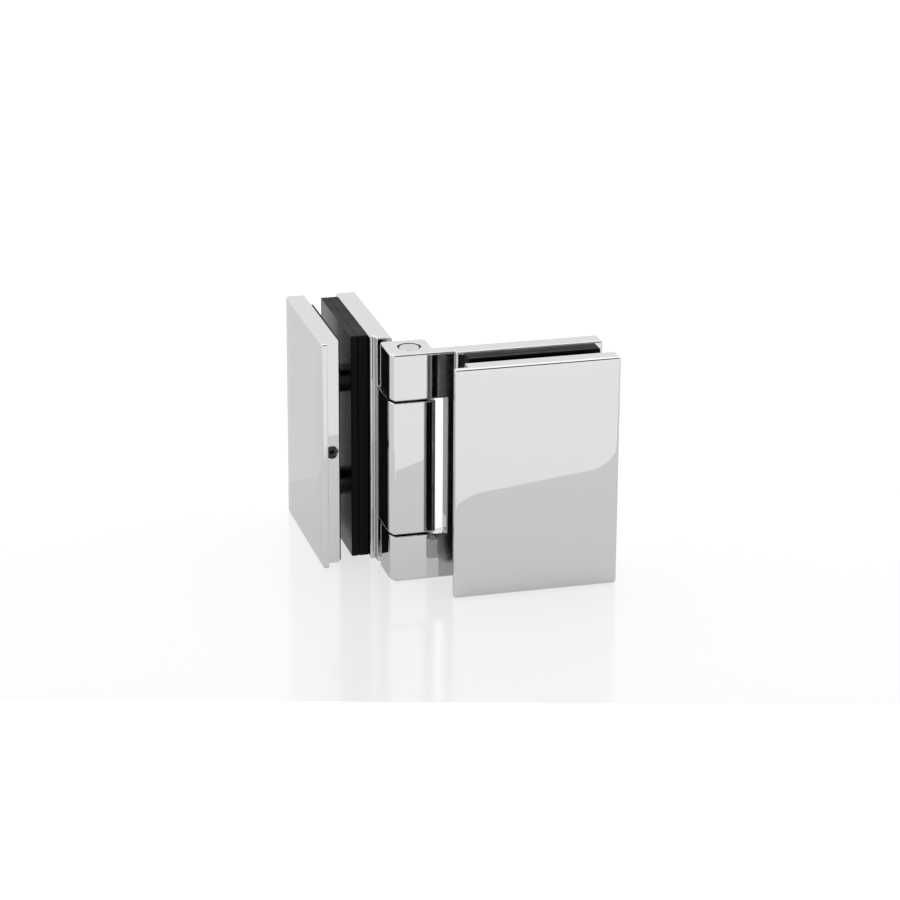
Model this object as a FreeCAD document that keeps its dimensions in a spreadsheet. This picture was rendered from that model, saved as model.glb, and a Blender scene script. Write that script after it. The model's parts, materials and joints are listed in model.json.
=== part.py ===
import FreeCAD, Part

import os

import Sketcher

from FreeCAD import Placement, Rotation, Vector

# A clamp hinge that joins two panes of a glass door. Each leaf is a body and a cover that clamp a pane
# between rubber sheets. The two bodies turn about one upright pin, which is the Z axis. The hinge stands on
# its bottom edges at z = 0, opened to a right angle: the fixed leaf runs along +X with its cover on the -Y
# side, and the door leaf is its mirror image along +Y with its cover on the -X side.
#
# Every leaf is drawn in its own frame: x runs along the leaf from the pin's centre, y through its
# thickness, negative towards the cover, and z upwards. All sizes are in millimetres.

SIZES = {
    # Whole leaf
    "height": 90,
    "edge_bevel": 0.5,
    "knuckle_bevel": 0.25,
    # Body: the back plate with its knuckles, one casting
    "plate_back": 3.5,
    "plate_thickness": 7.8,
    "plate_start": 12.2,
    "plate_end": 72,
    "step_start": 15.2,
    "step_depth": 1.8,
    # Knuckle block round the pin, measured from the pin's centre
    "block_end": 9.3,
    "block_side": 8.2,
    "block_back": 8,
    "corner_cut_depth": 3.6,
    "corner_cut_width": 1.4,
    "end_round": 0.9,
    "side_round": 2.4,
    "knuckle_height": 18,
    "axial_play": 0.1,
    # Pin, bushes and washers
    "pin_diameter": 8,
    "pin_setback": 0.1,
    "pin_bevel": 0.4,
    "running_clearance": 0.04,
    "bush_wall": 0.5,
    "seat_clearance": 0.02,
    "washer_diameter": 14,
    "washer_thickness": 0.7,
    "washer_clearance": 0.2,
    # Rubber sheets and the space left for the pane
    "backing_sheet": 3.9,
    "glass_sheet": 2.8,
    "sheet_start": 18.2,
    "sheet_end": 69,
    "sheet_inset": 0.5,
    "sheet_bevel": 0.3,
    "glass_space": 4.9,
    "cover_sheet": 0.6,
    "cover_sheet_start": 16,
    "cover_sheet_end": 61,
    "cover_sheet_inset": 0.5,
    # Cover plate with a rebate along its hinge-side edge
    "cover_thickness": 8,
    "cover_start": 9.5,
    "cover_end": 73,
    "rebate_end": 15,
    "flange_thickness": 2.5,
    # Clamp screws: countersunk, hex socket
    "clamp_reach": 40,
    "clamp_spacing": 42,
    "clamp_diameter": 6,
    "clamp_length": 25,
    "clamp_head": 12,
    "clamp_head_recess": 0.3,
    "clamp_socket": 4,
    "clamp_socket_depth": 2.5,
    "clamp_hole_clearance": 0.4,
    "clamp_hole_spare": 1,
    "countersink_clearance": 0.1,
    "sheet_hole_clearance": 0.5,
    "cover_sheet_hole_clearance": 0.5,
    "sleeve_wall": 2.2,
    "sleeve_clearance": 0.3,
    # Set screw in the cover's hinge-side edge
    "cover_screw_diameter": 4,
    "cover_screw_length": 8,
    "cover_screw_recess": 0.8,
    "cover_screw_socket": 2,
    "cover_screw_mouth": 5.2,
    # Set screw that holds the pin in the centre knuckle
    "pin_screw_diameter": 5,
    "pin_screw_recess": 0.4,
    "pin_screw_socket": 2.5,
    # Both set screws
    "set_socket_depth": 1.8,
    "set_hole_spare": 0.5,
}

doc = FreeCAD.newDocument("GlassDoorHinge")
sheet = doc.addObject("Spreadsheet::Sheet", "Sizes")
for row, (name, value) in enumerate(SIZES.items(), start=1):
    sheet.set(f"A{row}", name)
    sheet.set(f"B{row}", str(value))
    sheet.setAlias(f"B{row}", name)
doc.recompute()

# Distances from the pin's centre towards the cover, through the thickness of a leaf
PLATE_FACE = "(Sizes.plate_back + Sizes.plate_thickness)"
RECESS_FACE = f"({PLATE_FACE} - Sizes.step_depth)"
BACKING_FACE = f"({PLATE_FACE} + Sizes.backing_sheet)"
GLASS_FACE = f"({BACKING_FACE} + Sizes.glass_sheet)"
COVER_SHEET_FACE = f"({GLASS_FACE} + Sizes.glass_space)"
COVER_INNER = f"({COVER_SHEET_FACE} + Sizes.cover_sheet)"
COVER_OUTER = f"({COVER_INNER} + Sizes.cover_thickness)"

# Heights
MIDDLE = "(Sizes.height / 2)"
TOP_KNUCKLE = "(Sizes.height - Sizes.knuckle_height)"
KNUCKLE_GAP = "(Sizes.washer_thickness + Sizes.axial_play)"
CENTRE_BOTTOM = f"(Sizes.knuckle_height + {KNUCKLE_GAP})"
CENTRE_TOP = f"(Sizes.height - {CENTRE_BOTTOM})"
CLAMP_HEIGHTS = {
    "upper": f"({MIDDLE} + Sizes.clamp_spacing / 2)",
    "lower": f"({MIDDLE} - Sizes.clamp_spacing / 2)",
}

# Radii and depths that follow from the fits
PIN_RADIUS = "(Sizes.pin_diameter / 2)"
BUSH_INNER = f"({PIN_RADIUS} + Sizes.running_clearance)"
BUSH_OUTER = f"({BUSH_INNER} + Sizes.bush_wall)"
CLAMP_RADIUS = "(Sizes.clamp_diameter / 2)"
SLEEVE_INNER = f"({CLAMP_RADIUS} + Sizes.sleeve_clearance)"
SLEEVE_OUTER = f"({SLEEVE_INNER} + Sizes.sleeve_wall)"
SHEET_HOLE = f"({SLEEVE_OUTER} + Sizes.sheet_hole_clearance)"
COVER_SHEET_HOLE = f"({CLAMP_RADIUS} + Sizes.cover_sheet_hole_clearance)"
CLAMP_SINK = "(Sizes.clamp_head_recess + Sizes.countersink_clearance)"
CLAMP_MOUTH = f"Sizes.clamp_head + 2 * {CLAMP_SINK}"
CLAMP_TIP = "(Sizes.plate_back + Sizes.clamp_head_recess + Sizes.clamp_length)"
CLAMP_HOLE_DEPTH = f"({CLAMP_TIP} - {COVER_INNER} + Sizes.clamp_hole_spare)"
COVER_SCREW_LINE = f"({COVER_INNER} + (Sizes.cover_thickness - Sizes.flange_thickness) / 2)"
PIN_SCREW_LENGTH = f"(Sizes.block_back - Sizes.pin_screw_recess - {PIN_RADIUS} - Sizes.seat_clearance)"

# A half turn about the diagonal of X and Y lays a leaf's frame along +Y, which mirrors it, because each
# leaf is the same above and below its middle height.
MIRROR_TURN = Rotation(Vector(1, 1, 0), 180)
AXIS_TO_BACK = Rotation(Vector(1, 0, 0), -90)
AXIS_TO_PIN = Rotation(Vector(0, 1, 0), -90)


def number(expression):
    return float(sheet.evalExpression(expression))


def new_body(name):
    body = doc.addObject("PartDesign::Body", name)
    body.Label = name
    return body


def place(body, leaf, rotation=Rotation(), at=("0", "0", "0")):
    """Puts a body at a point of a leaf's frame, turned as given in that frame."""
    along, through, up = at
    if leaf == "door":
        body.Placement = Placement(Vector(), MIRROR_TURN * rotation)
        along, through, up = through, along, f"Sizes.height - {up}"
    else:
        body.Placement = Placement(Vector(), rotation)
    body.setExpression("Placement.Base.x", along)
    body.setExpression("Placement.Base.y", through)
    body.setExpression("Placement.Base.z", up)


def new_sketch(body, name, plane, offset="0"):
    """Adds a sketch on one of the body's own origin planes, moved along the plane's normal."""
    sketch = body.newObject("Sketcher::SketchObject", f"{body.Name}_{name}")
    support = next(f for f in body.Origin.OriginFeatures if f.Role == plane)
    sketch.AttachmentSupport = [(support, "")]
    sketch.MapMode = "FlatFace"
    sketch.setExpression("AttachmentOffset.Base.z", offset)
    return sketch


def tie(sketch, kind, element, expression):
    """Adds a dimension from the sketch's origin, or a radius, and binds it to an expression."""
    index = sketch.addConstraint(Sketcher.Constraint(kind, *element, number(expression)))
    sketch.setExpression(f"Constraints[{index}]", expression)


def draw_outline(sketch, corners):
    """Draws a closed outline of straight sides, each corner tied to its two expressions."""
    points = [Vector(number(across), number(up), 0) for across, up in corners]
    first = sketch.GeometryCount
    for start, end in zip(points, points[1:] + points[:1]):
        sketch.addGeometry(Part.LineSegment(start, end))
    for index, (across, up) in enumerate(corners):
        before = first + (index - 1) % len(corners)
        sketch.addConstraint(Sketcher.Constraint("Coincident", before, 2, first + index, 1))
        tie(sketch, "DistanceX", (-1, 1, first + index, 1), across)
        tie(sketch, "DistanceY", (-1, 1, first + index, 1), up)


def draw_rectangle(sketch, left, right, bottom, top):
    draw_outline(sketch, [(left, bottom), (right, bottom), (right, top), (left, top)])


def draw_circle(sketch, across, up, radius):
    index = sketch.addGeometry(Part.Circle(Vector(number(across), number(up), 0), Vector(0, 0, 1), 1))
    tie(sketch, "DistanceX", (-1, 1, index, 3), across)
    tie(sketch, "DistanceY", (-1, 1, index, 3), up)
    tie(sketch, "Radius", (index,), radius)


def draw_hexagon(sketch, flats):
    """Draws a hexagon about the sketch's origin, from its width across flats."""
    half, corner = f"{flats} / 2", f"{flats} / sqrt(3)"
    draw_outline(sketch, [
        (half, f"{corner} / 2"), ("0", corner), (f"-{half}", f"{corner} / 2"),
        (f"-{half}", f"-{corner} / 2"), ("0", f"-{corner}"), (half, f"-{corner} / 2"),
    ])


def pad(sketch, length):
    body = sketch.getParentGeoFeatureGroup()
    feature = body.newObject("PartDesign::Pad", f"{sketch.Name}_pad")
    feature.Profile = sketch
    feature.setExpression("Length", length)
    doc.recompute()
    return feature


def cut_through(sketch):
    """Cuts a sketch through the whole body, to both sides of its plane."""
    body = sketch.getParentGeoFeatureGroup()
    feature = body.newObject("PartDesign::Pocket", f"{sketch.Name}_cut")
    feature.Profile = sketch
    feature.Type = "ThroughAll"
    feature.Midplane = True
    doc.recompute()
    return feature


def cut_down(sketch, depth):
    """Cuts a sketch into the body, against its plane's normal."""
    body = sketch.getParentGeoFeatureGroup()
    feature = body.newObject("PartDesign::Pocket", f"{sketch.Name}_cut")
    feature.Profile = sketch
    feature.setExpression("Length", depth)
    doc.recompute()
    return feature


def drill(sketch, radius, depth=None, mouth=None):
    """Drills the sketch's circles along its plane's normal, through or to a depth, countersunk if asked."""
    body = sketch.getParentGeoFeatureGroup()
    doc.recompute()
    feature = body.newObject("PartDesign::Hole", f"{sketch.Name}_hole")
    feature.Profile = sketch
    feature.Reversed = True
    feature.setExpression("Diameter", f"2 * {radius}")
    if depth:
        feature.DepthType = "Dimension"
        feature.DrillPoint = "Flat"
        feature.setExpression("Depth", depth)
    else:
        feature.DepthType = "ThroughAll"
    if mouth:
        feature.HoleCutType = "Countersink"
        feature.HoleCutCustomValues = True
        feature.HoleCutCountersinkAngle = 90
        feature.setExpression("HoleCutDiameter", mouth)
    doc.recompute()
    return feature


def soften(kind, feature, size, chosen):
    """Chamfers or fillets the chosen edges of a feature."""
    body = feature.getParentGeoFeatureGroup()
    names = [f"Edge{i}" for i, edge in enumerate(feature.Shape.Edges, start=1) if chosen(edge)]
    softened = body.newObject(f"PartDesign::{kind}", f"{feature.Name}_{kind.lower()}")
    softened.Base = (feature, names)
    softened.setExpression("Size" if kind == "Chamfer" else "Radius", size)
    doc.recompute()
    return softened


def is_straight(edge):
    return isinstance(edge.Curve, (Part.Line, Part.LineSegment))


def is_upright_at(edge, x, y):
    """Tells whether an edge stands upright at the given place."""
    return is_straight(edge) and all(abs(v.X - x) < 1e-4 and abs(v.Y - y) < 1e-4 for v in edge.Vertexes)


def lies_at_height(edge, heights):
    return any(all(abs(v.Z - height) < 1e-4 for v in edge.Vertexes) for height in heights)


def make_leaf_body(leaf):
    """Makes the casting of back plate and knuckles: outer knuckles if fixed, the centre one if not."""
    body = new_body(f"{leaf}_leaf_body")
    plan = new_sketch(body, "plan", "XY_Plane")
    draw_outline(plan, [
        ("-Sizes.block_end", "Sizes.block_back"),
        ("-Sizes.block_end", f"-({RECESS_FACE} - Sizes.corner_cut_depth)"),
        ("-(Sizes.block_end - Sizes.corner_cut_width)", f"-{RECESS_FACE}"),
        ("Sizes.step_start", f"-{RECESS_FACE}"),
        ("Sizes.step_start", f"-{PLATE_FACE}"),
        ("Sizes.plate_end", f"-{PLATE_FACE}"),
        ("Sizes.plate_end", "-Sizes.plate_back"),
        ("Sizes.block_side", "-Sizes.plate_back"),
        ("Sizes.block_side", "Sizes.block_back"),
    ])
    casting = pad(plan, "Sizes.height")

    # The block's back corners are rounded, so that they pass the other leaf's plate
    end, side, back = -number("Sizes.block_end"), number("Sizes.block_side"), number("Sizes.block_back")
    casting = soften("Fillet", casting, "Sizes.end_round", lambda e: is_upright_at(e, end, back))
    casting = soften("Fillet", casting, "Sizes.side_round", lambda e: is_upright_at(e, side, back))

    # Every outer edge is broken before the block is cut into knuckles
    ends = [0, number("Sizes.height")]
    far, face, recess = (number(f"-{depth}") for depth in ("Sizes.plate_end", PLATE_FACE, RECESS_FACE))
    uprights = [(-far, face), (-far, -number("Sizes.plate_back")), (number("Sizes.step_start"), face),
                (end, recess + number("Sizes.corner_cut_depth")),
                (end + number("Sizes.corner_cut_width"), recess)]
    casting = soften("Chamfer", casting, "Sizes.edge_bevel", lambda e: lies_at_height(e, ends)
                     or any(is_upright_at(e, x, y) for x, y in uprights))

    # Room for the other leaf's knuckles
    room = new_sketch(body, "room", "XZ_Plane")
    left, right = "-2 * Sizes.block_end", "Sizes.plate_start"
    if leaf == "fixed":
        draw_rectangle(room, left, right, "Sizes.knuckle_height", TOP_KNUCKLE)
    else:
        draw_rectangle(room, left, right, "-Sizes.knuckle_height", CENTRE_BOTTOM)
        draw_rectangle(room, left, right, CENTRE_TOP, "Sizes.height + Sizes.knuckle_height")
    casting = cut_through(room)

    # The knuckles' sharp edges are broken
    facing = ["Sizes.knuckle_height", TOP_KNUCKLE] if leaf == "fixed" else [CENTRE_BOTTOM, CENTRE_TOP]
    levels, wall = [number(level) for level in facing], number("Sizes.plate_start")
    casting = soften("Chamfer", casting, "Sizes.knuckle_bevel",
                     lambda e: lies_at_height(e, levels) and min(v.X for v in e.Vertexes) < wall - 1e-4)

    bore = new_sketch(body, "bore", "XY_Plane")
    draw_circle(bore, "0", "0", f"{BUSH_OUTER if leaf == 'fixed' else PIN_RADIUS} + Sizes.seat_clearance")
    cut_through(bore)

    clamp_holes = new_sketch(body, "clamp_holes", "XZ_Plane", "Sizes.plate_back")
    for level in CLAMP_HEIGHTS.values():
        draw_circle(clamp_holes, "Sizes.clamp_reach", level, CLAMP_RADIUS)
    drill(clamp_holes, f"({CLAMP_RADIUS} + Sizes.clamp_hole_clearance)", mouth=CLAMP_MOUTH)

    if leaf == "door":
        pin_screw_hole = new_sketch(body, "pin_screw_hole", "XZ_Plane", "-Sizes.block_back")
        draw_circle(pin_screw_hole, "0", MIDDLE, "Sizes.pin_screw_diameter / 2")
        drill(pin_screw_hole, "(Sizes.pin_screw_diameter / 2 + Sizes.seat_clearance)",
              depth="Sizes.block_back")
    place(body, leaf)


def make_sheet(leaf, name, face, thickness, start, end, inset, hole, bevel=None):
    """Makes a rubber sheet on a face of the leaf, with a punched hole at each clamp screw."""
    body = new_body(f"{leaf}_leaf_{name}")
    outline = new_sketch(body, "outline", "XZ_Plane", face)
    draw_rectangle(outline, start, end, inset, f"Sizes.height - {inset}")
    for level in CLAMP_HEIGHTS.values():
        draw_circle(outline, "Sizes.clamp_reach", level, hole)
    slab = pad(outline, thickness)
    if bevel:
        soften("Chamfer", slab, bevel, is_straight)
    place(body, leaf)


def make_cover(leaf):
    """Makes the outer plate: a thick pad over the glass and a thin flange over the knuckles."""
    body = new_body(f"{leaf}_leaf_cover")
    plan = new_sketch(body, "plan", "XY_Plane")
    flange_inner = f"-({COVER_OUTER} - Sizes.flange_thickness)"
    draw_outline(plan, [
        ("Sizes.cover_start", f"-{COVER_OUTER}"),
        ("Sizes.cover_end", f"-{COVER_OUTER}"),
        ("Sizes.cover_end", f"-{COVER_INNER}"),
        ("Sizes.rebate_end", f"-{COVER_INNER}"),
        ("Sizes.rebate_end", flange_inner),
        ("Sizes.cover_start", flange_inner),
    ])
    plate = pad(plan, "Sizes.height")
    rebate, inner = number("Sizes.rebate_end"), number(flange_inner)
    soften("Chamfer", plate, "Sizes.edge_bevel", lambda e: not is_upright_at(e, rebate, inner))

    clamp_holes = new_sketch(body, "clamp_holes", "XZ_Plane", COVER_INNER)
    for level in CLAMP_HEIGHTS.values():
        draw_circle(clamp_holes, "Sizes.clamp_reach", level, CLAMP_RADIUS)
    drill(clamp_holes, f"({CLAMP_RADIUS} + Sizes.seat_clearance)", depth=CLAMP_HOLE_DEPTH)

    edge_hole = new_sketch(body, "edge_hole", "YZ_Plane", "Sizes.rebate_end")
    draw_circle(edge_hole, f"-{COVER_SCREW_LINE}", MIDDLE, "Sizes.cover_screw_diameter / 2")
    drill(edge_hole, "(Sizes.cover_screw_diameter / 2 + Sizes.seat_clearance)",
          depth="Sizes.cover_screw_recess + Sizes.cover_screw_length + Sizes.set_hole_spare",
          mouth="Sizes.cover_screw_mouth")
    place(body, leaf)


def make_clamp_screw(leaf, position):
    """Makes a countersunk screw, its head's top at its own z = 0."""
    body = new_body(f"{leaf}_leaf_{position}_clamp_screw")
    profile = new_sketch(body, "profile", "XZ_Plane")
    head = "Sizes.clamp_head / 2"
    cone_end = f"-({head} - {CLAMP_RADIUS})"
    draw_outline(profile, [
        ("0", "0"),
        ("0", "-Sizes.clamp_length"),
        (CLAMP_RADIUS, "-Sizes.clamp_length"),
        (CLAMP_RADIUS, cone_end),
        (head, "0"),
    ])
    turned = body.newObject("PartDesign::Revolution", f"{profile.Name}_turned")
    turned.Profile = profile
    turned.ReferenceAxis = (profile, ["V_Axis"])
    turned.Angle = 360
    doc.recompute()
    socket = new_sketch(body, "socket", "XY_Plane")
    draw_hexagon(socket, "Sizes.clamp_socket")
    cut_down(socket, "Sizes.clamp_socket_depth")
    place(body, leaf, AXIS_TO_BACK,
          ("Sizes.clamp_reach", "-(Sizes.plate_back + Sizes.clamp_head_recess)", CLAMP_HEIGHTS[position]))


def make_sleeve(leaf, position):
    """Makes the tube that keeps a clamp screw off the glass, from the plate to the cover's sheet."""
    body = new_body(f"{leaf}_leaf_{position}_sleeve")
    ring = new_sketch(body, "ring", "XZ_Plane", PLATE_FACE)
    draw_circle(ring, "Sizes.clamp_reach", CLAMP_HEIGHTS[position], SLEEVE_OUTER)
    draw_circle(ring, "Sizes.clamp_reach", CLAMP_HEIGHTS[position], SLEEVE_INNER)
    pad(ring, f"{COVER_SHEET_FACE} - {PLATE_FACE}")
    place(body, leaf)


def make_set_screw(name, diameter, length, socket_flats):
    """Makes a headless screw with a hex socket, its socket end at its own z = 0."""
    body = new_body(name)
    section = new_sketch(body, "section", "XY_Plane", f"-{length}")
    draw_circle(section, "0", "0", f"{diameter} / 2")
    pad(section, length)
    socket = new_sketch(body, "socket", "XY_Plane")
    draw_hexagon(socket, socket_flats)
    cut_down(socket, "Sizes.set_socket_depth")
    return body


def make_ring(name, bottom, length, outer, inner):
    """Makes a ring round the pin."""
    body = new_body(name)
    ring = new_sketch(body, "ring", "XY_Plane", bottom)
    draw_circle(ring, "0", "0", outer)
    draw_circle(ring, "0", "0", inner)
    pad(ring, length)


def make_pin():
    """Makes the hinge pin, whose ends lie flush with the outer knuckles."""
    body = new_body("hinge_pin")
    section = new_sketch(body, "section", "XY_Plane", "Sizes.pin_setback")
    draw_circle(section, "0", "0", PIN_RADIUS)
    rod = pad(section, "Sizes.height - 2 * Sizes.pin_setback")
    soften("Chamfer", rod, "Sizes.pin_bevel", lambda e: isinstance(e.Curve, Part.Circle))


for leaf in ("fixed", "door"):
    make_leaf_body(leaf)
    make_sheet(leaf, "backing_gasket", PLATE_FACE, "Sizes.backing_sheet",
               "Sizes.sheet_start", "Sizes.sheet_end", "Sizes.sheet_inset", SHEET_HOLE, "Sizes.sheet_bevel")
    make_sheet(leaf, "glass_gasket", BACKING_FACE, "Sizes.glass_sheet",
               "Sizes.sheet_start", "Sizes.sheet_end", "Sizes.sheet_inset", SHEET_HOLE, "Sizes.sheet_bevel")
    make_sheet(leaf, "cover_gasket", COVER_SHEET_FACE, "Sizes.cover_sheet",
               "Sizes.cover_sheet_start", "Sizes.cover_sheet_end", "Sizes.cover_sheet_inset",
               COVER_SHEET_HOLE)
    make_cover(leaf)
    for position in CLAMP_HEIGHTS:
        make_clamp_screw(leaf, position)
        make_sleeve(leaf, position)
    cover_screw = make_set_screw(f"{leaf}_leaf_cover_set_screw", "Sizes.cover_screw_diameter",
                                 "Sizes.cover_screw_length", "Sizes.cover_screw_socket")
    place(cover_screw, leaf, AXIS_TO_PIN,
          ("Sizes.rebate_end + Sizes.cover_screw_recess", f"-{COVER_SCREW_LINE}", MIDDLE))

make_pin()
BUSH_LENGTH = "(Sizes.knuckle_height - Sizes.pin_setback)"
make_ring("upper_bush", TOP_KNUCKLE, BUSH_LENGTH, BUSH_OUTER, BUSH_INNER)
make_ring("lower_bush", "Sizes.pin_setback", BUSH_LENGTH, BUSH_OUTER, BUSH_INNER)
WASHER_INNER = f"{PIN_RADIUS} + Sizes.washer_clearance"
make_ring("upper_washer", CENTRE_TOP, "Sizes.washer_thickness", "Sizes.washer_diameter / 2", WASHER_INNER)
make_ring("lower_washer", "Sizes.knuckle_height", "Sizes.washer_thickness",
          "Sizes.washer_diameter / 2", WASHER_INNER)
pin_screw = make_set_screw("pin_set_screw", "Sizes.pin_screw_diameter", PIN_SCREW_LENGTH,
                           "Sizes.pin_screw_socket")
place(pin_screw, "door", AXIS_TO_BACK, ("0", "Sizes.block_back - Sizes.pin_screw_recess", MIDDLE))

doc.recompute()
faults = [thing.Name for thing in doc.Objects if {"Invalid", "Error"} & set(thing.State)]
if faults:
    raise RuntimeError(f"these objects failed: {faults}")
bodies = [thing for thing in doc.Objects if thing.TypeId == "PartDesign::Body"]
for body in bodies:
    if body.Shape.isNull() or not body.Shape.isValid() or len(body.Shape.Solids) != 1:
        raise RuntimeError(f"{body.Label} is not one whole solid")

os.makedirs("parts", exist_ok=True)
for body in bodies:
    body.Shape.exportStep(f"parts/{body.Label}.step")
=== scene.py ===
import json
import math

import bmesh
import bpy
from mathutils import Matrix, Vector

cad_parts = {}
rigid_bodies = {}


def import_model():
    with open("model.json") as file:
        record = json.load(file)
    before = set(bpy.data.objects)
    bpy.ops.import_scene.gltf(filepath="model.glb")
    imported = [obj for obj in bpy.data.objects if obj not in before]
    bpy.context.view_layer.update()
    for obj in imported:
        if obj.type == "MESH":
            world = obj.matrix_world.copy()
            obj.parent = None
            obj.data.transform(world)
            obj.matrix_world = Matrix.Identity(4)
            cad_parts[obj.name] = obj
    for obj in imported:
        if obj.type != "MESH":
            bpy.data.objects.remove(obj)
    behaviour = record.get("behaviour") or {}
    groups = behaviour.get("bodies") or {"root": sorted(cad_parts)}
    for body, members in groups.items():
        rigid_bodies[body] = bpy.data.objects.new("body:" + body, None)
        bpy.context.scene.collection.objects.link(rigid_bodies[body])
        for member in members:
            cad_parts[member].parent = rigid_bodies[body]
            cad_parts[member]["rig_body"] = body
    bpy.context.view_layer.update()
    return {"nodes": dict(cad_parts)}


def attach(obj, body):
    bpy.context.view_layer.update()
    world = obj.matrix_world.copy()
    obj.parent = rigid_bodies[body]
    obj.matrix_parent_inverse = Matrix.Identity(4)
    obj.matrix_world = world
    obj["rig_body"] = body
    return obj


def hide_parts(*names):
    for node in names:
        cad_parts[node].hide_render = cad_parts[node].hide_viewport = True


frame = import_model()
nodes = frame["nodes"]
scene = bpy.context.scene


# The two leaf bodies, each a back plate with its knuckles, are castings. Their faces are ground flat, buffed
# to a mirror and chrome plated, so their edges are a little soft and the mirror keeps faint hairlines and
# waves. The wheel has crowned the knuckles a little and can't reach the floor of the step beside them.
CHROME_COLOUR = (0.56, 0.564, 0.562)
# Painted shade: the floor of the step is mixed to this darker grey; its pits and dullness are real.
PAINTED_STEP_SHADE = (0.36, 0.362, 0.36)
GRAZING_TINT = (0.8, 0.8, 0.8)
BODY_EDGE = 0.0008


def add_node(tree, kind, inputs=None, **settings):
    """Adds a node; each input is given a socket to read from or a plain value."""
    node = tree.nodes.new(kind)
    for name, value in settings.items():
        setattr(node, name, value)
    for name, value in (inputs or {}).items():
        if isinstance(value, bpy.types.NodeSocket):
            tree.links.new(value, node.inputs[name])
        else:
            node.inputs[name].default_value = value
    return node.outputs


def maths(tree, operation, *values):
    return add_node(tree, "ShaderNodeMath", dict(enumerate(values)), operation=operation)[0]


def vector_maths(tree, operation, *values):
    return add_node(tree, "ShaderNodeVectorMath", dict(enumerate(values)), operation=operation)[0]


def separate(tree, vector):
    return add_node(tree, "ShaderNodeSeparateXYZ", {0: vector})


def combine(tree, x, y, z):
    return add_node(tree, "ShaderNodeCombineXYZ", {0: x, 1: y, 2: z})[0]


def fade(tree, value, low, high, to_low=0.0, to_high=1.0):
    """Goes from one value to another while the value that is read goes from low to high."""
    return add_node(tree, "ShaderNodeMapRange", {
        "Value": value, "From Min": low, "From Max": high, "To Min": to_low, "To Max": to_high})[0]


def noise(tree, place, scale, detail, roughness=0.5):
    return add_node(tree, "ShaderNodeTexNoise", {
        "Vector": place, "Scale": scale, "Detail": detail, "Roughness": roughness})[0]


def mix_colour(tree, mask, under, over):
    """Lays one colour over another. A Mix node's colours are its inputs 6 and 7 and its output 2."""
    return add_node(tree, "ShaderNodeMix", {
        "Factor": mask, 6: (*under, 1), 7: (*over, 1)}, data_type="RGBA")[2]


def relief(tree, height, depth, strength, **facing):
    """Bends the normals by a height, from the given facing where there is one."""
    return add_node(tree, "ShaderNodeBump", {
        "Height": height, "Distance": depth, "Strength": strength, **facing})[0]


def turn_with_piece(tree, vector, kind, start, end):
    """Takes a direction from the piece's axes to the world's or back, so that it turns with the piece."""
    return add_node(tree, "ShaderNodeVectorTransform", {"Vector": vector},
                    vector_type=kind, convert_from=start, convert_to=end)[0]


def new_effect(name, takes, gives):
    """Starts a shader group that reads numbers and the place on the piece."""
    tree = bpy.data.node_groups.new(name, "ShaderNodeTree")
    for label, value in takes.items():
        tree.interface.new_socket(label, in_out="INPUT", socket_type="NodeSocketFloat").default_value = value
    tree.interface.new_socket(gives, in_out="OUTPUT", socket_type="NodeSocketFloat")
    given = tree.nodes.new("NodeGroupInput").outputs
    place = tree.nodes.new("ShaderNodeTexCoord").outputs["Object"]
    return tree, given, place, tree.nodes.new("NodeGroupOutput").inputs[gives]


def place_effect(tree, effect, values):
    node = tree.nodes.new("ShaderNodeGroup")
    node.node_tree = effect
    for name, value in values.items():
        node.inputs[name].default_value = value
    return node.outputs[0]


def new_material(name, **values):
    """A procedural material; the values set the shader's own sockets."""
    material = bpy.data.materials.new(name)
    material.use_nodes = True
    shader = material.node_tree.nodes["Principled BSDF"]
    for label, value in values.items():
        shader.inputs[label.replace("_", " ")].default_value = value
    return material, material.node_tree, shader.inputs


HAIRLINE_STRETCH = (1, 1, 0.06)


def buffing_marks():
    """Upright hairlines left by the buffing wheel and the slow waves under them, as a height."""
    tree, given, place, out = new_effect("buffing_marks", {
        "Line Scale": 1100, "Line Depth": 0.1, "Wave Scale": 75, "Wave Depth": 1}, "Height")
    drawn_out = add_node(tree, "ShaderNodeMapping", {"Vector": place, "Scale": HAIRLINE_STRETCH})["Vector"]
    lines = noise(tree, drawn_out, given["Line Scale"], detail=2)
    waves = noise(tree, place, given["Wave Scale"], detail=1)
    fine = maths(tree, "MULTIPLY", lines, given["Line Depth"])
    tree.links.new(maths(tree, "MULTIPLY_ADD", waves, given["Wave Depth"], fine), out)
    return tree


def handling_film():
    """The film that hands and cloths leave, as a roughness that drifts between two values."""
    tree, given, place, out = new_effect("handling_film", {
        "Clean": 0.02, "Filmed": 0.08, "Scale": 60}, "Roughness")
    patches = noise(tree, place, given["Scale"], detail=4, roughness=0.6)
    film = fade(tree, patches, low=0.42, high=0.72, to_low=given["Clean"], to_high=given["Filmed"])
    tree.links.new(film, out)
    return tree


def step_skin_and_shade():
    """The floor of the step as a mask, for its pits and its painted shade: a strip along the leaf of the
    face at the given depth.
    """
    tree, given, place, out = new_effect("step_skin_and_shade", {
        "Start": 0.0091, "End": 0.0153, "Deep": 0.0095, "Slack": 0.0001}, "Mask")
    spot = separate(tree, place)
    along = maths(tree, "MAXIMUM", spot["X"], spot["Y"])
    across = maths(tree, "MINIMUM", spot["X"], spot["Y"])
    after_start = maths(tree, "GREATER_THAN", along, given["Start"])
    before_end = maths(tree, "LESS_THAN", along, given["End"])
    from_face = maths(tree, "ABSOLUTE", maths(tree, "ADD", across, given["Deep"]))
    on_face = maths(tree, "LESS_THAN", from_face, given["Slack"])
    strip = maths(tree, "MULTIPLY", after_start, before_end)
    tree.links.new(maths(tree, "MULTIPLY", strip, on_face), out)
    return tree


BUFFING = buffing_marks()
FILM = handling_film()
STEP_SKIN_AND_SHADE = step_skin_and_shade()

KNUCKLE_REACH = 0.0093
KNUCKLE_LEAN = 0.05
KNUCKLE_LIMIT = 1.01


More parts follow.
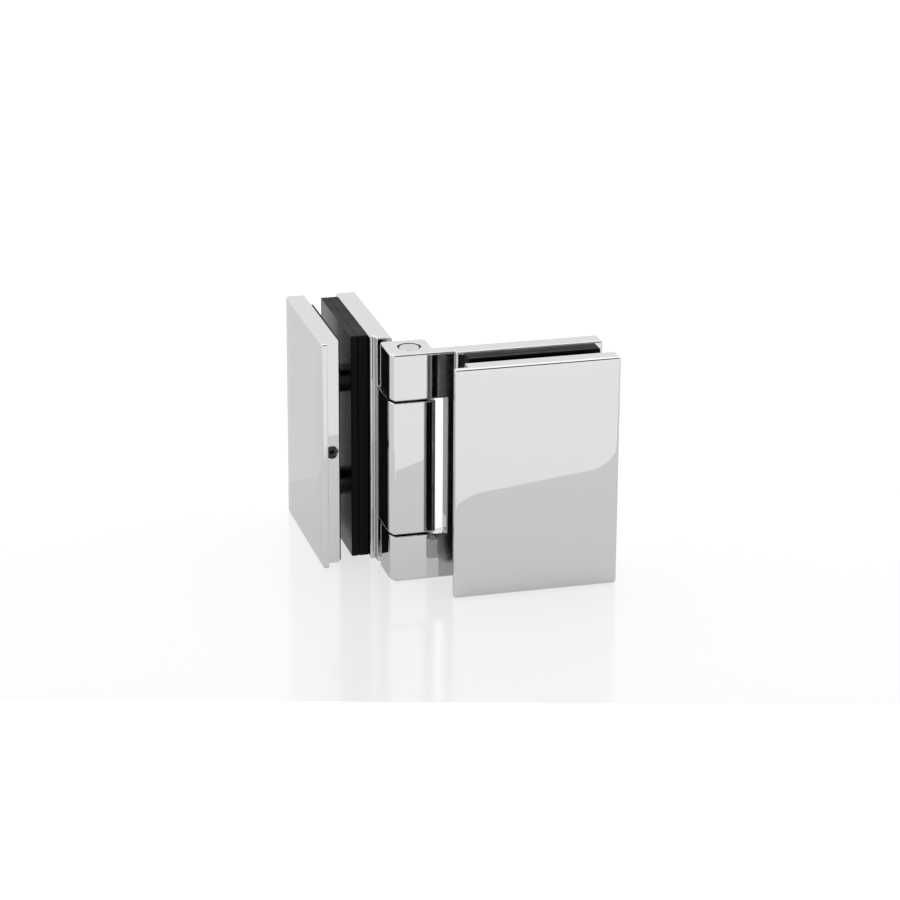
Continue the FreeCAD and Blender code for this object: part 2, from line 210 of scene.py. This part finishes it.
def crown_knuckles(tree, place, facing):
    """Leans the knuckles' faces outwards towards their edges, as far as the knuckles reach from the pin."""
    flat = vector_maths(tree, "MULTIPLY", place, (1, 1, 0))
    reach = separate(tree, vector_maths(tree, "ABSOLUTE", flat))
    reach = maths(tree, "DIVIDE", maths(tree, "MAXIMUM", reach["X"], reach["Y"]), KNUCKLE_REACH)
    on_knuckle = maths(tree, "LESS_THAN", reach, KNUCKLE_LIMIT)
    share = maths(tree, "MULTIPLY", on_knuckle, maths(tree, "POWER", reach, 2))
    lean = maths(tree, "MULTIPLY", share, KNUCKLE_LEAN / KNUCKLE_REACH)
    lean = vector_maths(tree, "MULTIPLY", flat, combine(tree, lean, lean, 0))
    lean = turn_with_piece(tree, lean, "VECTOR", "OBJECT", "WORLD")
    return vector_maths(tree, "NORMALIZE", vector_maths(tree, "ADD", facing, lean))


EDGE_SAMPLES = 6
MARK_DEPTH = 0.00001
MARK_STRENGTH = 0.6
PIT_SCALE = 1300
PIT_DEPTH = 0.8


def plated_metal(name, colour, soft_edge, clean=0.015, filmed=0.05, wave_depth=1.0, cast=False):
    """A mirror with soft edges; a casting also has crowned knuckles, a pitted step floor and painted shade
    that darkens that floor.
    """
    material, tree, shader = new_material(
        name, Metallic=1, Base_Color=(*colour, 1), Specular_Tint=(*GRAZING_TINT, 1))
    place = tree.nodes.new("ShaderNodeTexCoord").outputs["Object"]
    facing = add_node(tree, "ShaderNodeBevel", {"Radius": soft_edge}, samples=EDGE_SAMPLES)[0]
    rough = place_effect(tree, FILM, {"Clean": clean, "Filmed": filmed, "Scale": 70})
    marks = place_effect(tree, BUFFING, {"Wave Depth": wave_depth})
    if cast:
        facing = crown_knuckles(tree, place, facing)
        skin_and_shade = place_effect(tree, STEP_SKIN_AND_SHADE, {})
        pits = noise(tree, place, PIT_SCALE, detail=2)
        dull = maths(tree, "MULTIPLY", skin_and_shade, fade(tree, pits, low=0.3, high=0.7, to_low=0.1, to_high=0.2))
        pitted = maths(tree, "MULTIPLY", maths(tree, "MULTIPLY", pits, skin_and_shade), PIT_DEPTH)
        rough = maths(tree, "ADD", rough, dull)
        marks = maths(tree, "ADD", marks, pitted)
        # Painted shade: the step's floor is laid in a darker grey.
        tree.links.new(mix_colour(tree, skin_and_shade, colour, PAINTED_STEP_SHADE), shader["Base Color"])
    tree.links.new(rough, shader["Roughness"])
    tree.links.new(relief(tree, marks, MARK_DEPTH, MARK_STRENGTH, Normal=facing), shader["Normal"])
    return material


def smooth(mesh, sharp_angle):
    """Shades the round faces as round and keeps the corners sharp."""
    mesh.polygons.foreach_set("use_smooth", [True] * len(mesh.polygons))
    mesh.set_sharp_from_angle(angle=math.radians(sharp_angle))


WELD_DISTANCE = 0.000001
FLAT_ANGLE = 0.3
SHARP_ANGLE = 35
BODY_SHARP_ANGLE = 12
LARGE_FACE_WEIGHT = 100


def finish_round(name, material, sharp_angle=SHARP_ANGLE, reshape=None):
    """Stands a merged copy of a node in its place, shaded so that no facets show in its mirror."""
    shape = bmesh.new()
    shape.from_mesh(nodes[name].data)
    bmesh.ops.remove_doubles(shape, verts=shape.verts, dist=WELD_DISTANCE)
    bmesh.ops.dissolve_limit(
        shape, angle_limit=math.radians(FLAT_ANGLE), verts=shape.verts, edges=shape.edges)
    if reshape:
        reshape(shape)
    mesh = bpy.data.meshes.new(f"{name}_blank")
    shape.to_mesh(mesh)
    shape.free()
    smooth(mesh, sharp_angle)
    mesh.materials.append(material)
    blank = bpy.data.objects.new(f"{name}_blank", mesh)
    scene.collection.objects.link(blank)
    weighted = blank.modifiers.new("weighted", "WEIGHTED_NORMAL")
    weighted.keep_sharp = True
    weighted.weight = LARGE_FACE_WEIGHT
    final = bpy.data.meshes.new_from_object(blank.evaluated_get(bpy.context.evaluated_depsgraph_get()))
    bpy.data.objects.remove(blank)
    final.name = f"{name}_finished"
    piece = bpy.data.objects.new(f"{name}_finished", final)
    scene.collection.objects.link(piece)
    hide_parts(name)
    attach(piece, nodes[name]["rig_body"])


KNUCKLE_CORNER = (-0.0095, -0.0093)
CORNER_REACH = 0.0045
LEVEL_DIGITS = 5


def ease_front_corner(shape):
    """Eases the centre knuckle's front corner: narrow across the front and deep along the side."""
    levels = {}
    for point in shape.verts:
        across = point.co.x - KNUCKLE_CORNER[0]
        deep = point.co.y - KNUCKLE_CORNER[1]
        if across < CORNER_REACH and deep < CORNER_REACH:
            levels.setdefault(round(point.co.z, LEVEL_DIGITS), []).append((across, deep, point))
    for level in levels.values():
        level.sort(key=lambda row: row[0])
        for (_, _, point), (other_across, other_deep, _) in zip(level, reversed(level)):
            point.co.x = KNUCKLE_CORNER[0] + other_deep
            point.co.y = KNUCKLE_CORNER[1] + other_across


body_chrome = plated_metal("body_chrome", CHROME_COLOUR, BODY_EDGE, cast=True)
finish_round("fixed_leaf_body", body_chrome, BODY_SHARP_ANGLE)
finish_round("door_leaf_body", body_chrome, BODY_SHARP_ANGLE, ease_front_corner)


# The pin is a ground and plated steel rod, set a hair below the top of the knuckles. A set screw in the
# centre knuckle holds it, so it turns with the door leaf.
PIN_COLOUR = (0.5, 0.5, 0.5)
PIN_EDGE = 0.0003

pin_steel = plated_metal("pin_steel", PIN_COLOUR, PIN_EDGE, clean=0.04, filmed=0.12)
finish_round("hinge_pin", pin_steel)


# The liners round the pin and the washers between the knuckles are turned from black acetal, which stays a
# little waxy. The sleeves that keep the clamp screws off the glass are moulded in black nylon.
ACETAL_COLOUR = (0.008, 0.008, 0.009)
NYLON_COLOUR = (0.012, 0.012, 0.013)
DUST_COLOUR = (0.35, 0.34, 0.33)


def settled_dust():
    """Fine pale dust that lies thicker on faces that look up, as a mask."""
    tree, given, place, out = new_effect("settled_dust", {"Amount": 0.1, "Scale": 500}, "Mask")
    specks = noise(tree, place, given["Scale"], detail=5, roughness=0.7)
    facing = separate(tree, tree.nodes.new("ShaderNodeNewGeometry").outputs["Normal"])
    upward = fade(tree, facing["Z"], low=0, high=1, to_low=0.3)
    patchy = maths(tree, "MULTIPLY", upward, fade(tree, specks, low=0.4, high=0.7))
    tree.links.new(maths(tree, "MULTIPLY", patchy, given["Amount"]), out)
    return tree


DUST = settled_dust()
GRAIN_STRENGTH = 0.5


def dull_black(name, colour, specular, clean, filmed, dust, grain_scale, grain_depth, coat=0.0):
    """A dull black plastic or rubber with a handling film, settled dust and a fine grain."""
    material, tree, shader = new_material(name, Specular_IOR_Level=specular, Coat_Weight=coat)
    place = tree.nodes.new("ShaderNodeTexCoord").outputs["Object"]
    rough = place_effect(tree, FILM, {"Clean": clean, "Filmed": filmed, "Scale": 120})
    dusty = place_effect(tree, DUST, {"Amount": dust, "Scale": 450})
    grain = noise(tree, place, grain_scale, detail=3)
    tree.links.new(mix_colour(tree, dusty, colour, DUST_COLOUR), shader["Base Color"])
    tree.links.new(rough, shader["Roughness"])
    tree.links.new(relief(tree, grain, grain_depth, GRAIN_STRENGTH), shader["Normal"])
    return material


def dress(material, *names):
    for name in names:
        for slot in nodes[name].material_slots:
            slot.material = material


acetal = dull_black("black_acetal", ACETAL_COLOUR, specular=0.15, clean=0.45, filmed=0.6, dust=0.02,
                    grain_scale=900, grain_depth=0.00001)
nylon = dull_black("black_nylon", NYLON_COLOUR, specular=0.8, clean=0.1, filmed=0.18, dust=0.02,
                   grain_scale=700, grain_depth=0.00002, coat=1)
dress(acetal, "upper_bush", "lower_bush", "upper_washer", "lower_washer")
for leaf in ("fixed", "door"):
    for level in ("upper", "lower"):
        finish_round(f"{leaf}_leaf_{level}_sleeve", nylon)


# The sheets that hold the pane are black rubber, cut from moulded sheet with a bevelled rim and stuck on.
# The thick one backs the thinner one on the body, and a very thin one lies on the cover.
RUBBER_COLOUR = (0.0035, 0.0035, 0.0038)
CUT_ROUGHNESS = 0.32


def sheet_rubber(name, broad_axis):
    """Smooth on the moulded broad faces, dull where the sheet was cut."""
    material = dull_black(name, RUBBER_COLOUR, specular=0.09, clean=0.2, filmed=0.28, dust=0.006,
                          grain_scale=1600, grain_depth=0.00001)
    tree = material.node_tree
    shader = tree.nodes["Principled BSDF"].inputs
    facing = tree.nodes.new("ShaderNodeNewGeometry").outputs["True Normal"]
    facing = separate(tree, turn_with_piece(tree, facing, "NORMAL", "WORLD", "OBJECT"))[broad_axis]
    cut = fade(tree, maths(tree, "ABSOLUTE", facing), low=0.6, high=0.9, to_low=CUT_ROUGHNESS, to_high=0)
    film = shader["Roughness"].links[0].from_socket
    tree.links.new(maths(tree, "ADD", film, cut), shader["Roughness"])
    return material


for leaf, broad_axis in (("fixed", "Y"), ("door", "X")):
    dress(sheet_rubber(f"{leaf}_leaf_rubber", broad_axis),
          *(f"{leaf}_leaf_{sheet}_gasket" for sheet in ("backing", "glass", "cover")))


# Each cover is a chrome plate with a rebated edge over the knuckles. Polishing has rounded all its rims and
# let its broad face fall away towards them, so it is made as a crowned plate, and then the rebate and the
# holes are cut.
COVER_SIZES = {
    "Start": 0.0095, "End": 0.073, "Inner Face": 0.0235, "Outer Face": 0.0315, "Height": 0.09,
    "Edge Radius": 0.001, "Crown Width": 0.011, "Crown Drop": 0.00035,
    "Rebate End": 0.015, "Flange": 0.0025,
    "Screw Radius": 0.00202, "Screw Depth": 0.0093, "Mouth Radius": 0.0026,
    "Clamp Radius": 0.00302, "Clamp Reach": 0.04, "Clamp Half Spacing": 0.021, "Clamp Depth": 0.0063,
}
COVER_EDGE = 0.0003


def new_rule(name, sizes):
    """Starts a Geometry Nodes tree with a number input for each size and one material input."""
    tree = bpy.data.node_groups.new(name, "GeometryNodeTree")
    for label in sizes:
        tree.interface.new_socket(label, in_out="INPUT", socket_type="NodeSocketFloat")
    tree.interface.new_socket("Finish", in_out="INPUT", socket_type="NodeSocketMaterial")
    tree.interface.new_socket("Geometry", in_out="OUTPUT", socket_type="NodeSocketGeometry")
    return tree, tree.nodes.new("NodeGroupInput").outputs


def end_rule(tree, shape, given):
    """Ends a tree in real geometry that wears its finish."""
    real = add_node(tree, "GeometryNodeRealizeInstances", {"Geometry": shape})
    finished = add_node(tree, "GeometryNodeSetMaterial", {"Geometry": real[0], "Material": given["Finish"]})
    tree.links.new(finished[0], tree.nodes.new("NodeGroupOutput").inputs["Geometry"])


def run_rule(name, tree, sizes, finish):
    """Runs a tree with the given sizes and keeps its result as a plain mesh object."""
    seed = bpy.data.objects.new(f"{name}_rule", bpy.data.meshes.new(f"{name}_rule"))
    scene.collection.objects.link(seed)
    modifier = seed.modifiers.new("rule", "NODES")
    modifier.node_group = tree
    for socket in tree.interface.items_tree:
        if socket.in_out == "INPUT":
            modifier[socket.identifier] = finish if socket.name == "Finish" else float(sizes[socket.name])
    evaluated = seed.evaluated_get(bpy.context.evaluated_depsgraph_get())
    mesh = bpy.data.meshes.new_from_object(evaluated)
    seed.modifiers.remove(modifier)
    bpy.data.objects.remove(seed)
    mesh.name = name
    smooth(mesh, SHARP_ANGLE)
    piece = bpy.data.objects.new(name, mesh)
    scene.collection.objects.link(piece)
    return piece


def box(tree, size):
    return add_node(tree, "GeometryNodeMeshCube", {"Size": size})["Mesh"]


def cylinder(tree, sides, radius, depth):
    return add_node(tree, "GeometryNodeMeshCylinder", {
        "Vertices": sides, "Radius": radius, "Depth": depth})["Mesh"]


def cone(tree, sides, top_radius, bottom_radius, depth):
    return add_node(tree, "GeometryNodeMeshCone", {
        "Vertices": sides, "Radius Top": top_radius, "Radius Bottom": bottom_radius, "Depth": depth})["Mesh"]


def move(tree, shape, offset, turn=(0, 0, 0)):
    return add_node(tree, "GeometryNodeTransform", {
        "Geometry": shape, "Translation": offset, "Rotation": turn})[0]


def join_or_cut(tree, operation, shapes, blank=None):
    """Joins the shapes to one, or cuts them from a blank."""
    node = tree.nodes.new("GeometryNodeMeshBoolean")
    node.operation = operation
    node.solver = "EXACT"
    if blank:
        tree.links.new(blank, node.inputs["Mesh 1"])
    for shape in shapes:
        tree.links.new(shape, node.inputs["Mesh 2"])
    return node.outputs["Mesh"]


LINES_ALONG = 72
LINES_THROUGH = 14
LINES_UP = 100
CROWN_POWER = 3


def crowned_plate(tree, given, half):
    """A plate round the origin with rounded rims, whose outer face falls away towards them."""
    # Lines of the grid lie closer together towards the rims
    grid = add_node(tree, "GeometryNodeMeshCube", {
        "Size": (2, 2, 2), "Vertices X": LINES_ALONG, "Vertices Y": LINES_THROUGH, "Vertices Z": LINES_UP})
    spot = tree.nodes.new("GeometryNodeInputPosition").outputs[0]
    quarter_turn = (math.pi / 2, math.pi / 2, math.pi / 2)
    eased = vector_maths(tree, "SINE", vector_maths(tree, "MULTIPLY", spot, quarter_turn))
    flat = vector_maths(tree, "MULTIPLY", eased, half)

    # Every rim gets its radius: a point near one is pushed out from the line that the rim is rounded about
    radius = combine(tree, given["Edge Radius"], given["Edge Radius"], given["Edge Radius"])
    core = vector_maths(tree, "SUBTRACT", half, radius)
    behind = vector_maths(tree, "MULTIPLY", core, (-1, -1, -1))
    nearest = vector_maths(tree, "MINIMUM", core, vector_maths(tree, "MAXIMUM", flat, behind))
    outward = vector_maths(tree, "NORMALIZE", vector_maths(tree, "SUBTRACT", flat, nearest))
    rounded = vector_maths(tree, "ADD", nearest, vector_maths(tree, "MULTIPLY", outward, radius))

    # The outer face falls away towards its rims, and the inner one stays flat
    from_rim = separate(tree, vector_maths(tree, "SUBTRACT", half, vector_maths(tree, "ABSOLUTE", flat)))
    falls = []
    for side in ("X", "Z"):
        left = maths(tree, "SUBTRACT", 1, maths(tree, "DIVIDE", from_rim[side], given["Crown Width"]))
        falls.append(maths(tree, "POWER", maths(tree, "MAXIMUM", left, 0), CROWN_POWER))
    fall = maths(tree, "SUBTRACT", maths(tree, "ADD", *falls), maths(tree, "MULTIPLY", *falls))
    outwards = maths(tree, "MULTIPLY", separate(tree, rounded)["Y"], -1)
    outer = maths(tree, "MAXIMUM", maths(tree, "DIVIDE", outwards, separate(tree, half)["Y"]), 0)
    sunk = maths(tree, "MULTIPLY", maths(tree, "MULTIPLY", fall, outer), given["Crown Drop"])
    crowned = vector_maths(tree, "ADD", rounded, combine(tree, 0, sunk, 0))
    return add_node(tree, "GeometryNodeSetPosition", {"Geometry": grid["Mesh"], "Position": crowned})[0]


CUT_SPARE = 0.002
REBATE_CUT_DEPTH = 0.02
SET_SCREW_HOLE_SIDES = 40
CLAMP_HOLE_SIDES = 32
TURNED_ALONG = (0, math.pi / 2, 0)
TURNED_THROUGH = (math.pi / 2, 0, 0)


def cover_cuts(tree, given, middle_z):
    """The rebate over the knuckles, the edge screw's hole and mouth, and the clamp screws' blind holes."""
    inner = maths(tree, "SUBTRACT", given["Flange"], given["Outer Face"])
    width = maths(tree, "ADD", maths(tree, "SUBTRACT", given["Rebate End"], given["Start"]), CUT_SPARE)
    height = maths(tree, "ADD", given["Height"], 2 * CUT_SPARE)
    middle = maths(tree, "SUBTRACT", given["Rebate End"], maths(tree, "MULTIPLY", width, 0.5))
    rebate = box(tree, combine(tree, width, REBATE_CUT_DEPTH, height))
    cuts = [move(tree, rebate, combine(
        tree, middle, maths(tree, "ADD", inner, REBATE_CUT_DEPTH / 2), middle_z))]

    screw_line = maths(tree, "MULTIPLY", maths(tree, "SUBTRACT", inner, given["Inner Face"]), 0.5)
    screw_spot = combine(tree, given["Rebate End"], screw_line, middle_z)
    both_ways = maths(tree, "MULTIPLY", given["Screw Depth"], 2)
    hole = cylinder(tree, SET_SCREW_HOLE_SIDES, given["Screw Radius"], both_ways)
    mouth = cone(tree, SET_SCREW_HOLE_SIDES, 0, given["Mouth Radius"], given["Mouth Radius"])
    for cut in (hole, mouth):
        cuts.append(move(tree, cut, screw_spot, TURNED_ALONG))

    inner_face = maths(tree, "MULTIPLY", given["Inner Face"], -1)
    for side in (1, -1):
        level = maths(tree, "ADD", middle_z, maths(tree, "MULTIPLY", given["Clamp Half Spacing"], side))
        both_ways = maths(tree, "MULTIPLY", given["Clamp Depth"], 2)
        hole = cylinder(tree, CLAMP_HOLE_SIDES, given["Clamp Radius"], both_ways)
        clamp_spot = combine(tree, given["Clamp Reach"], inner_face, level)
        cuts.append(move(tree, hole, clamp_spot, TURNED_THROUGH))
    return cuts


def crowned_cover():
    """The rule of a cover in its leaf's own place: x away from the pin, y towards the back, z up."""
    tree, given = new_rule("crowned_cover", COVER_SIZES)
    middle_x = maths(tree, "MULTIPLY", maths(tree, "ADD", given["Start"], given["End"]), 0.5)
    middle_y = maths(tree, "MULTIPLY", maths(tree, "ADD", given["Inner Face"], given["Outer Face"]), -0.5)
    middle_z = maths(tree, "MULTIPLY", given["Height"], 0.5)
    half_length = maths(tree, "SUBTRACT", given["End"], middle_x)
    half_thickness = maths(tree, "ADD", given["Outer Face"], middle_y)
    plate = crowned_plate(tree, given, combine(tree, half_length, half_thickness, middle_z))
    plate = move(tree, plate, combine(tree, middle_x, middle_y, middle_z))
    end_rule(tree, join_or_cut(tree, "DIFFERENCE", cover_cuts(tree, given, middle_z), plate), given)
    return tree


# The door leaf is the fixed leaf turned over about the line half-way between the leaves
DOOR_TURN = Matrix(((0, 1, 0, 0), (1, 0, 0, 0), (0, 0, -1, COVER_SIZES["Height"]), (0, 0, 0, 1)))


def put_in_leaf(piece, leaf):
    if leaf == "door":
        piece.data.transform(DOOR_TURN)


cover_rule = crowned_cover()
cover_chrome = plated_metal("cover_chrome", CHROME_COLOUR, COVER_EDGE, wave_depth=0.8)
for leaf in ("fixed", "door"):
    cover = run_rule(f"{leaf}_cover_plate", cover_rule, COVER_SIZES, cover_chrome)
    put_in_leaf(cover, leaf)
    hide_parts(f"{leaf}_leaf_cover")
    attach(cover, f"{leaf}_leaf")


# Two countersunk socket screws a leaf pull the cover against the pane. They are bright steel, threaded along
# the shank, and go in from the back of the body through the sleeves into the cover.
SCREW_SIZES = {
    "Head Radius": 0.006, "Radius": 0.003, "Length": 0.025, "Socket": 0.004, "Socket Depth": 0.0025,
    "Pitch": 0.001, "Thread Depth": 0.0005, "Rim": 0.00025,
    "Head Top": 0.0038, "Reach": 0.04, "Low": 0.024, "Spacing": 0.042,
}
SCREW_COLOUR = (0.42, 0.42, 0.43)
HEAD_SIDES = 56
SOCKET_SIDES = 6
FLATS_TO_CORNER = 1 / math.sqrt(3)


def screw_head(tree, given, taper):
    """A countersunk head with a narrow straight rim and a hex socket, its top at the origin."""
    cone_length = maths(tree, "SUBTRACT", taper, given["Rim"])
    rim_top = maths(tree, "SUBTRACT", given["Head Radius"], given["Rim"])
    sunk = cone(tree, HEAD_SIDES, given["Head Radius"], given["Radius"], cone_length)
    sunk = move(tree, sunk, combine(tree, 0, 0, maths(tree, "MULTIPLY", taper, -1)))
    rim = cone(tree, HEAD_SIDES, rim_top, given["Head Radius"], given["Rim"])
    rim = move(tree, rim, combine(tree, 0, 0, maths(tree, "MULTIPLY", given["Rim"], -1)))
    corner = maths(tree, "MULTIPLY", given["Socket"], FLATS_TO_CORNER)
    socket = cylinder(tree, SOCKET_SIDES, corner, maths(tree, "MULTIPLY", given["Socket Depth"], 2))
    return join_or_cut(tree, "DIFFERENCE", [socket], join_or_cut(tree, "UNION", [sunk, rim]))


SHANK_SIDES = 40
STEPS_PER_TURN = 24
THREAD_SIDES = 4
PLAIN_PITCHES = 1.5
HEAD_BACKWARDS = (-math.pi / 2, 0, 0)


def threaded_shank(tree, given, taper):
    """The shank below the head, with a thread wound round all of it but its two short plain ends."""
    root = maths(tree, "SUBTRACT", given["Radius"], given["Thread Depth"])
    shank_length = maths(tree, "SUBTRACT", given["Length"], taper)
    middle = maths(tree, "MULTIPLY", maths(tree, "ADD", given["Length"], taper), -0.5)
    shank = cylinder(tree, SHANK_SIDES, root, shank_length)
    shank = move(tree, shank, combine(tree, 0, 0, middle))
    plain = maths(tree, "MULTIPLY", given["Pitch"], PLAIN_PITCHES)
    turns = maths(tree, "DIVIDE", maths(tree, "SUBTRACT", shank_length, plain), given["Pitch"])
    spiral = add_node(tree, "GeometryNodeCurveSpiral", {
        "Resolution": STEPS_PER_TURN, "Rotations": turns, "Start Radius": root, "End Radius": root,
        "Height": maths(tree, "MULTIPLY", turns, given["Pitch"])})[0]
    thread_foot = maths(tree, "SUBTRACT", given["Pitch"], given["Length"])
    spiral = move(tree, spiral, combine(tree, 0, 0, thread_foot))
    profile = add_node(tree, "GeometryNodeCurvePrimitiveCircle", {
        "Resolution": THREAD_SIDES, "Radius": given["Thread Depth"]}, mode="RADIUS")["Curve"]
    thread = add_node(tree, "GeometryNodeCurveToMesh", {
        "Curve": spiral, "Profile Curve": profile, "Fill Caps": True})["Mesh"]
    return shank, thread


def clamp_screws():
    """The rule of a leaf's pair of clamp screws: one screw, made head up, and laid at both heights."""
    tree, given = new_rule("clamp_screws", SCREW_SIZES)
    taper = maths(tree, "SUBTRACT", given["Head Radius"], given["Radius"])
    screw = tree.nodes.new("GeometryNodeJoinGeometry")
    for part in (screw_head(tree, given, taper), *threaded_shank(tree, given, taper)):
        tree.links.new(part, screw.inputs["Geometry"])
    lying = move(tree, screw.outputs[0], (0, 0, 0), HEAD_BACKWARDS)
    head_top = maths(tree, "MULTIPLY", given["Head Top"], -1)
    spots = add_node(tree, "GeometryNodeMeshLine", {
        "Count": 2, "Start Location": combine(tree, given["Reach"], head_top, given["Low"]),
        "Offset": combine(tree, 0, 0, given["Spacing"])}, mode="OFFSET")["Mesh"]
    pair = add_node(tree, "GeometryNodeInstanceOnPoints", {"Points": spots, "Instance": lying})[0]
    end_rule(tree, pair, given)
    return tree


TURNING_DEPTH = 0.00003
TURNING_STRENGTH = 0.5


def screw_steel(name, colour, clean, filmed):
    """Turned steel: dull where it is filmed, with a little settled dust."""
    material, tree, shader = new_material(name, Metallic=1)
    rough = place_effect(tree, FILM, {"Clean": clean, "Filmed": filmed, "Scale": 300})
    dusty = place_effect(tree, DUST, {"Amount": 0.12, "Scale": 900})
    marks = place_effect(tree, BUFFING, {"Line Scale": 2400, "Line Depth": 0.5, "Wave Depth": 0.3})
    tree.links.new(mix_colour(tree, dusty, colour, DUST_COLOUR), shader["Base Color"])
    tree.links.new(rough, shader["Roughness"])
    tree.links.new(relief(tree, marks, TURNING_DEPTH, TURNING_STRENGTH), shader["Normal"])
    return material


clamp_rule = clamp_screws()
clamp_steel = screw_steel("clamp_screw_steel", SCREW_COLOUR, clean=0.18, filmed=0.32)
for leaf in ("fixed", "door"):
    screws = run_rule(f"{leaf}_clamp_screws", clamp_rule, SCREW_SIZES, clamp_steel)
    put_in_leaf(screws, leaf)
    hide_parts(f"{leaf}_leaf_upper_clamp_screw", f"{leaf}_leaf_lower_clamp_screw")
    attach(screws, f"{leaf}_leaf")


# The small set screws, one in each cover's rebated edge and one in the centre knuckle, are turned steel with
# hex sockets and a black oxide finish.
OXIDE_COLOUR = (0.035, 0.035, 0.037)

black_oxide = screw_steel("black_oxide_steel", OXIDE_COLOUR, clean=0.22, filmed=0.4)
for name in ("fixed_leaf_cover_set_screw", "door_leaf_cover_set_screw", "pin_set_screw"):
    finish_round(name, black_oxide)


# The hinge stands on a lit sheet of pale acrylic let into a brighter pale floor. The sheet and the floor's
# edges lie square to the camera, and the floor in front of the sheet is a little brighter than behind it.
CAMERA_TURN = math.radians(15.09)
SHEET_EDGES_ACROSS = (-3, -0.3, 0.3, 3)
SHEET_EDGES_ALONG = (-3, -0.12, 0.091, 3)
FLOOR_DROP = 0.0002
IN_FRONT = 0
SHEET = 1
BEHIND = 2
SURFACES_BY_PANEL = [IN_FRONT, IN_FRONT, IN_FRONT, IN_FRONT, SHEET, BEHIND, BEHIND, BEHIND, BEHIND]


def stage_surface(name, grey, glow, roughness, specular):
    return new_material(
        name, Base_Color=(grey, grey, grey, 1), Roughness=roughness, Specular_IOR_Level=specular,
        Emission_Color=(1, 1, 1, 1), Emission_Strength=glow)[0]


corners = [(x, y, 0) for y in SHEET_EDGES_ALONG for x in SHEET_EDGES_ACROSS]
row_length = len(SHEET_EDGES_ACROSS)
panels = []
for row in range(len(SHEET_EDGES_ALONG) - 1):
    for column in range(row_length - 1):
        near = row * row_length + column
        far = near + row_length
        panels.append((near, near + 1, far + 1, far))
mesh = bpy.data.meshes.new("studio_floor")
mesh.from_pydata(corners, [], panels)
mesh.materials.append(stage_surface("floor_in_front", 0.6, glow=0.57, roughness=0.4, specular=0.1))
mesh.materials.append(stage_surface("lit_sheet", 0.14, glow=0.7, roughness=0.12, specular=0.25))
mesh.materials.append(stage_surface("floor_behind", 0.4, glow=0.55, roughness=0.4, specular=0.1))
mesh.polygons.foreach_set("material_index", SURFACES_BY_PANEL)
mesh.transform(Matrix.Translation((0, 0, -FLOOR_DROP)) @ Matrix.Rotation(-CAMERA_TURN, 4, "Z"))
floor = bpy.data.objects.new("studio_floor", mesh)
scene.collection.objects.link(floor)


# A white room gives soft light, stronger from above than from the sides. The side that the picture is taken
# from is dark, except low down, which draws the black lines on the mirrors.
SIDES_STRENGTH = 1.35
ABOVE_STRENGTH = 1.9
TAKING_SIDE_STRENGTH = 0.05

world = bpy.data.worlds.new("white_room")
scene.world = world
world.use_nodes = True
tree = world.node_tree
direction = tree.nodes.new("ShaderNodeTexCoord").outputs["Generated"]
height = separate(tree, direction)["Z"]
towards = add_node(tree, "ShaderNodeVectorMath", {
    0: direction, 1: (-math.sin(CAMERA_TURN), -math.cos(CAMERA_TURN), 0)}, operation="DOT_PRODUCT")["Value"]
room = fade(tree, height, low=0.35, high=0.75, to_low=SIDES_STRENGTH, to_high=ABOVE_STRENGTH)
taking_side = fade(tree, towards, low=0.08, high=0.24)
shade = maths(tree, "MULTIPLY", taking_side, fade(tree, height, low=0.44, high=0.54))
lit = maths(tree, "MULTIPLY", room, maths(tree, "SUBTRACT", 1, shade))
dark = maths(tree, "MULTIPLY", shade, TAKING_SIDE_STRENGTH)
tree.links.new(maths(tree, "ADD", lit, dark), tree.nodes["Background"].inputs["Strength"])
tree.nodes["Background"].inputs["Color"].default_value = (1, 1, 1, 1)
scene.view_settings.view_transform = "Standard"


# The camera stands a long step back, a little to the left of the fixed leaf's front, and looks down at the
# middle of the pin. Its lens is long, so the upright edges stay nearly parallel.
CAMERA_PITCH = math.radians(20.07)
CAMERA_ROLL = math.radians(-0.323)
CAMERA_DISTANCE = 1.2018
CAMERA_AIM = Vector((0, 0, 0.04908))
CAMERA_ASIDE = 0.01545
CAMERA_LENS = 127.7
SENSOR_WIDTH = 36

view_line = Vector((math.sin(CAMERA_TURN) * math.cos(CAMERA_PITCH),
                    math.cos(CAMERA_TURN) * math.cos(CAMERA_PITCH), -math.sin(CAMERA_PITCH)))
aside = Vector((math.cos(CAMERA_TURN), -math.sin(CAMERA_TURN), 0))
camera = bpy.data.objects.new("camera", bpy.data.cameras.new("camera"))
camera.data.lens = CAMERA_LENS
camera.data.sensor_width = SENSOR_WIDTH
camera.location = CAMERA_AIM + aside * CAMERA_ASIDE - view_line * CAMERA_DISTANCE
camera.rotation_mode = "QUATERNION"
camera.rotation_quaternion = view_line.to_track_quat("-Z", "Y")
camera.rotation_quaternion.rotate(Matrix.Rotation(CAMERA_ROLL, 3, view_line))
scene.collection.objects.link(camera)
scene.camera = camera
